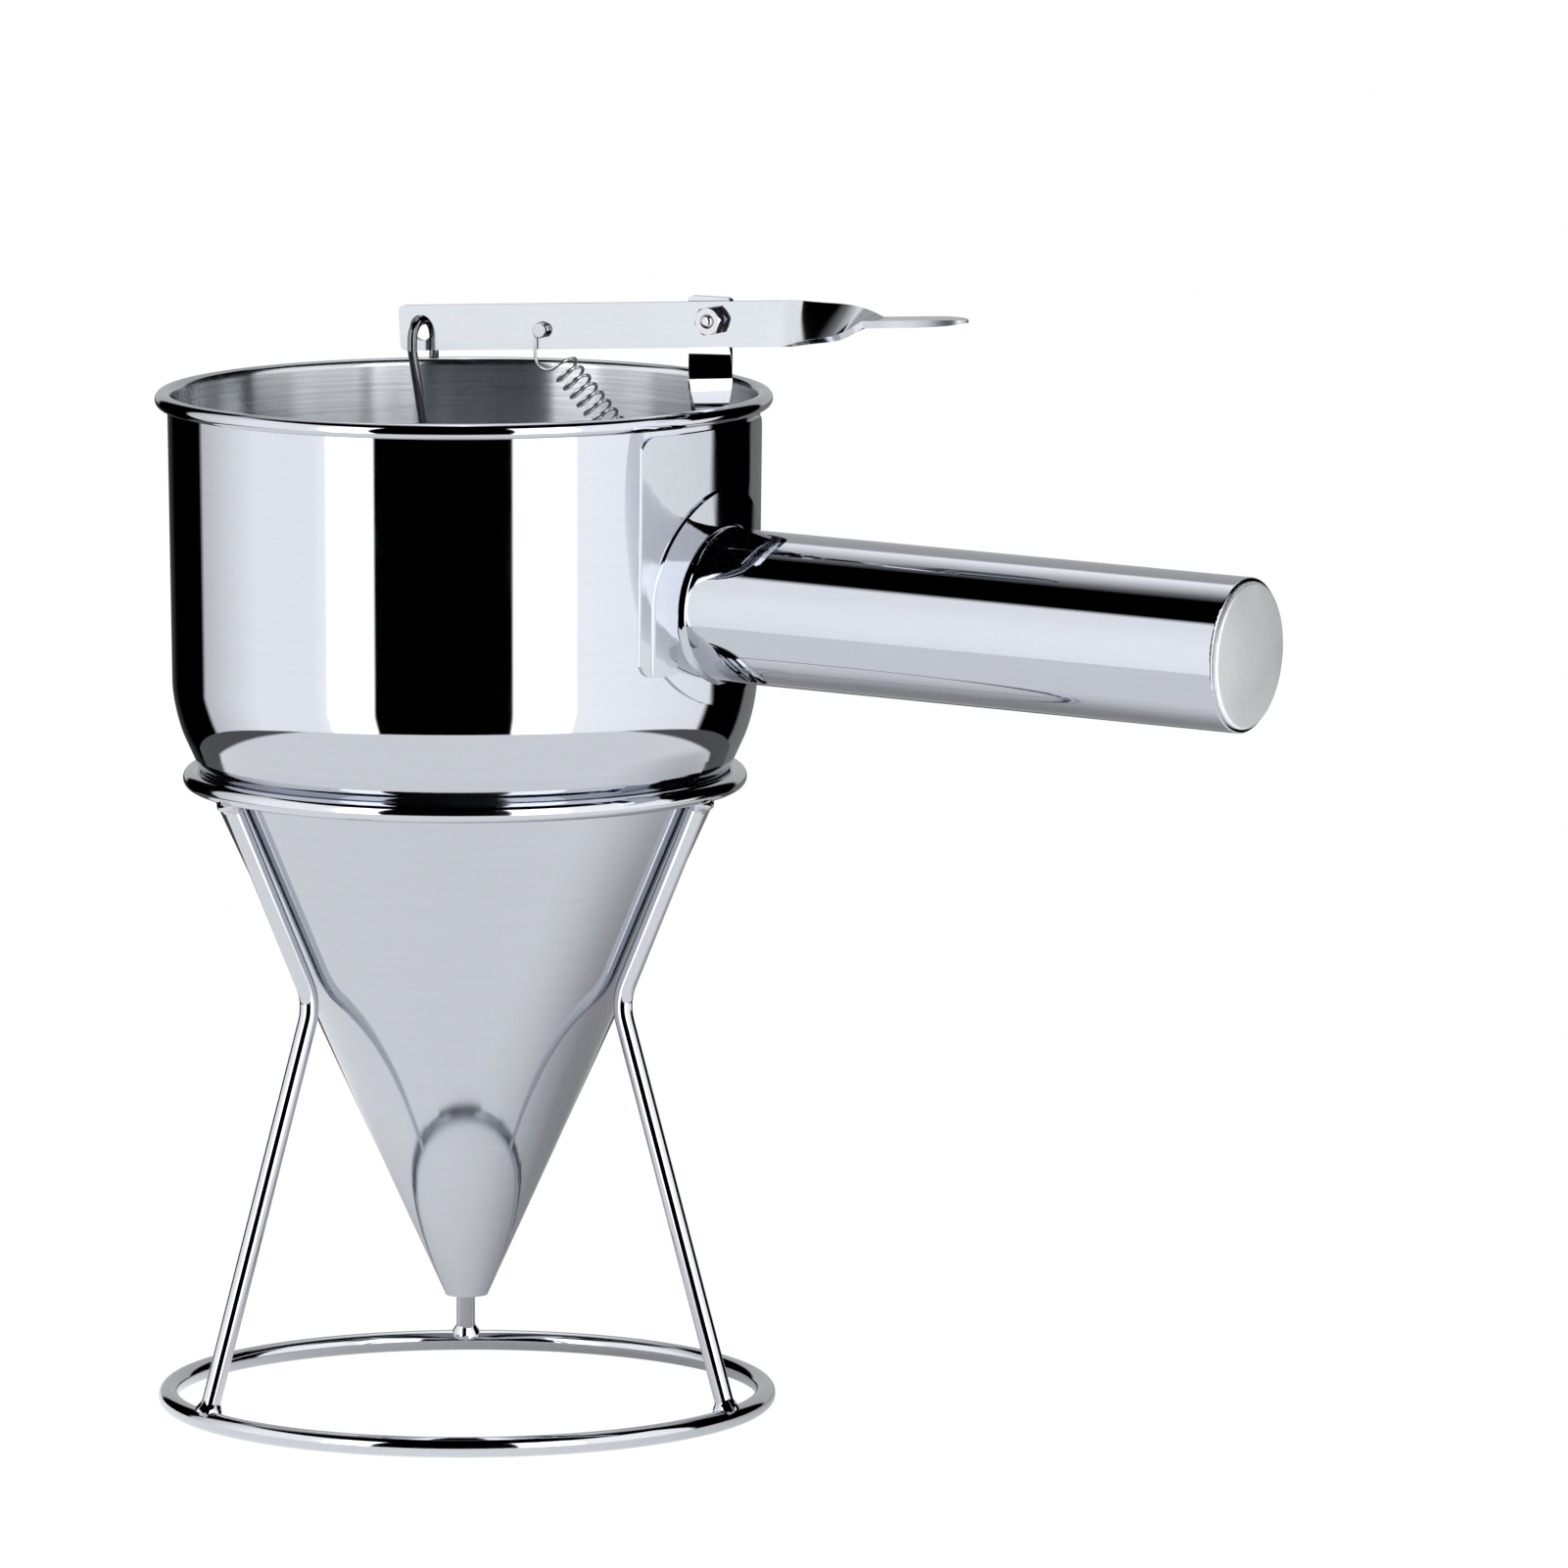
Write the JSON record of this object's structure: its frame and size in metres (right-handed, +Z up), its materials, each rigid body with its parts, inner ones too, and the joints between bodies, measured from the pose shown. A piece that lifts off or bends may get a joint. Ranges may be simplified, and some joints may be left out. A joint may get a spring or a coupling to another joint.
{
  "type": "pancake batter dispenser",
  "caption": "Handled steel funnel with a thumb lever that lifts a sprung rod and plug off its nozzle, resting in a three-legged wire stand.",
  "frame": {"origin": "on the table at the centre of the stand's base ring, which is on the funnel's axis", "axes": "+Z up along the funnel's axis, +X towards the handle, +Y to the handle's left, away from the side the lever lies on"},
  "size_m": [0.2505, 0.1302, 0.2383],
  "materials": {
    "mirror_steel": "mirror-polished stainless steel",
    "satin_steel": "fine satin stainless steel",
    "bright_strip": "bright polished strip steel",
    "fastener_steel": "bright machined steel",
    "spring_steel": "drawn spring wire",
    "chrome_wire": "chrome-plated wire"
  },
  "bodies": {
    "stand": {"stand_base_ring": "chrome_wire", "stand_top_ring": "chrome_wire", "stand_leg_1": "chrome_wire", "stand_leg_2": "chrome_wire", "stand_leg_3": "chrome_wire"},
    "funnel": {"funnel_cup": "mirror_steel", "funnel_cone": "satin_steel", "handle_flange": "mirror_steel", "handle_plate": "mirror_steel", "handle_tube": "mirror_steel", "handle_cap": "satin_steel", "lever_bracket": "bright_strip", "pivot_washer": "fastener_steel", "pivot_bolt": "fastener_steel", "pivot_nut": "fastener_steel", "return_spring": "spring_steel"},
    "lever": {"lever": "bright_strip", "spring_pin": "fastener_steel"},
    "plunger": {"plunger_rod": "chrome_wire", "plunger_plug": "satin_steel"}
  },
  "joints": [
    {"name": "funnel_lift", "type": "slide", "parent": "stand", "child": "funnel", "axis": [0, 0, 1], "range_m": [0, 0.12]},
    {"name": "lever_pivot", "type": "hinge", "parent": "funnel", "child": "lever", "pos_m": [0.0611, -0.0021, 0.2332], "axis": [0, 1, 0], "range_deg": [0, 14], "stiffness_Nm_per_rad": 0.25, "springref_deg": -40.11, "deforming": ["return_spring"]},
    {"name": "rod_lift", "type": "slide", "parent": "funnel", "child": "plunger", "axis": [0, 0, 1], "range_m": [0, 0.015]}
  ],
  "couplings": [
    {"joint": "rod_lift", "follows": "lever_pivot", "m_per_rad": 0.0609}
  ]
}
